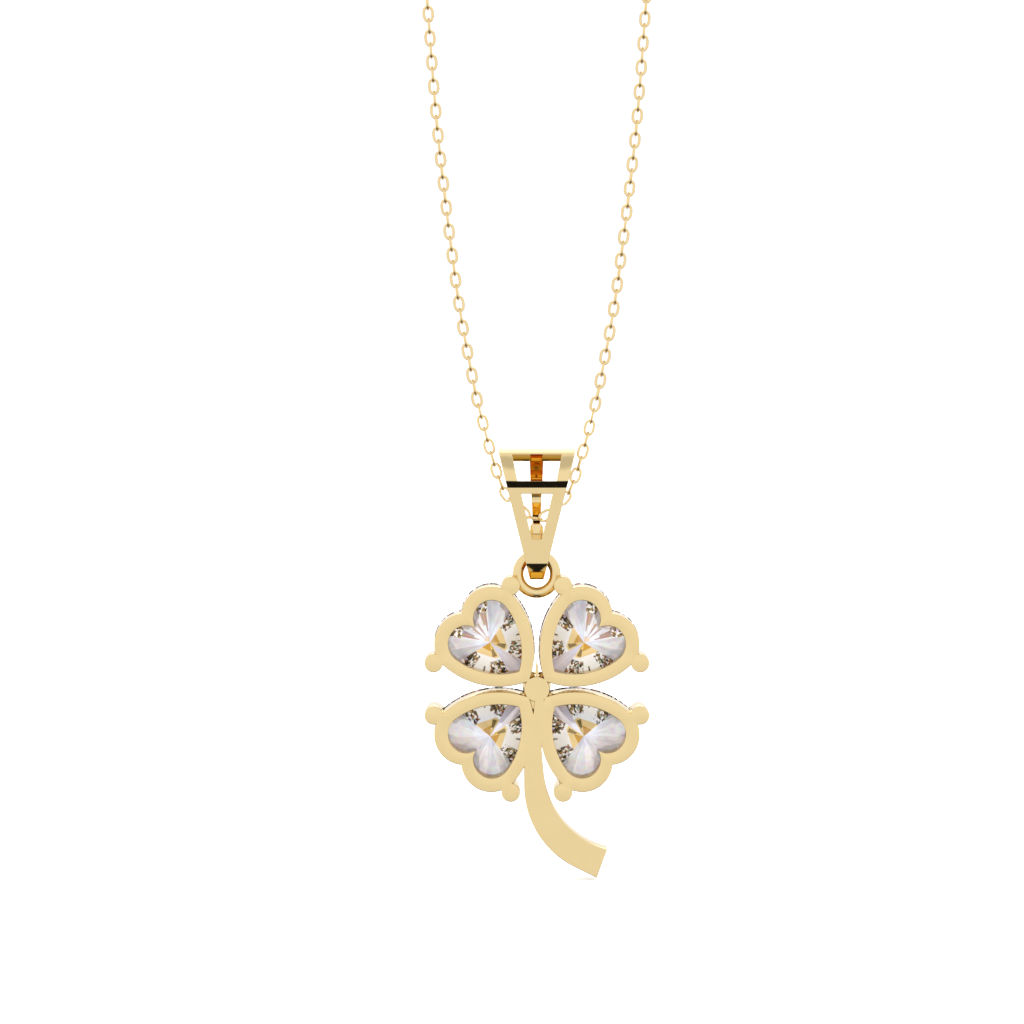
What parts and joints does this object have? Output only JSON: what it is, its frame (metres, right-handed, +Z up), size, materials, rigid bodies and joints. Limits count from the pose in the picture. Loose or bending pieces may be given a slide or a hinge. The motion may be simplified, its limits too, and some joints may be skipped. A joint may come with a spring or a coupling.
{
  "type": "clover pendant on a chain",
  "caption": "Gold clover pendant with heart-cut stones and a curved stem, hung by a ring from a tapered bail on a fine closed chain.",
  "frame": {"origin": "the underside of the clasp at the top of the hanging loop, where it rests on a hook", "axes": "+Z up; +Y the way that the stones' tables face; the flat back of the clover, which the picture shows, faces -Y; +X to the right in that view"},
  "size_m": [0.025, 0.0042, 0.2404],
  "materials": {
    "gold": "polished yellow gold",
    "chain_gold": "polished yellow gold wire",
    "diamond": "polished, colourless, faceted"
  },
  "bodies": {
    "chain_loop": {"chain": "chain_gold", "clasp": "gold"},
    "hanger": {"bail": "gold"},
    "clover": {"clover_setting": "gold", "stone_upper_right": "diamond", "stone_upper_left": "diamond", "stone_lower_left": "diamond", "stone_lower_right": "diamond"}
  },
  "joints": [
    {"name": "bail_swing", "type": "hinge", "parent": "chain_loop", "child": "hanger", "pos_m": [0, 0, -0.21495], "axis": [1, 0, 0], "range_deg": [-35, 35]},
    {"name": "clover_swing", "type": "hinge", "parent": "hanger", "child": "clover", "pos_m": [0, 0, -0.21739], "axis": [1, 0, 0], "range_deg": [-35, 35]}
  ]
}
